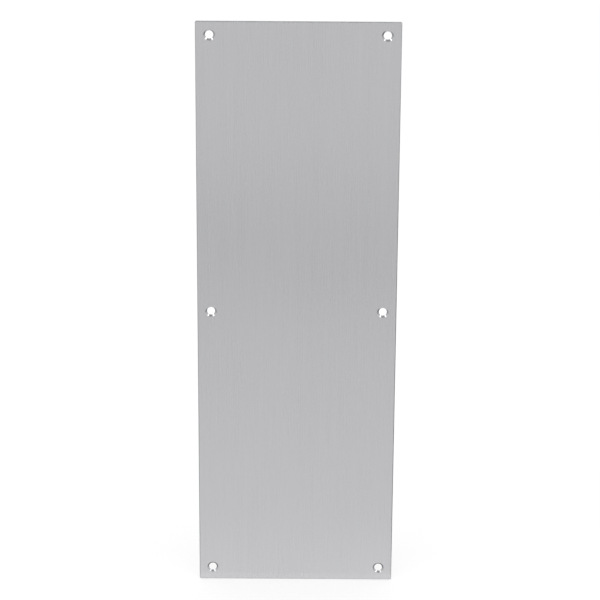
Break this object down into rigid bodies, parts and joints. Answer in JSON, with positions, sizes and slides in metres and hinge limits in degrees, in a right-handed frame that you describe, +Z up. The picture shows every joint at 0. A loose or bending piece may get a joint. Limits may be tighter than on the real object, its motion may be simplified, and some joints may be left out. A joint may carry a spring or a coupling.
{
  "type": "kick plate",
  "caption": "Flat rectangular stainless steel kick plate with bevelled edges and countersunk screw holes, screwed to the face of a door to protect it.",
  "frame": {"origin": "centre of the back face, which lies on the door", "axes": "+Z up along the long side, +X to the right seen from the front, +Y from the front face through to the door"},
  "size_m": [0.15, 0.0015, 0.45],
  "materials": {
    "satin_steel": "satin stainless steel, fine grain along the length, turned countersinks, ground edges"
  },
  "bodies": {
    "root": {"plate": "satin_steel"}
  },
  "joints": []
}
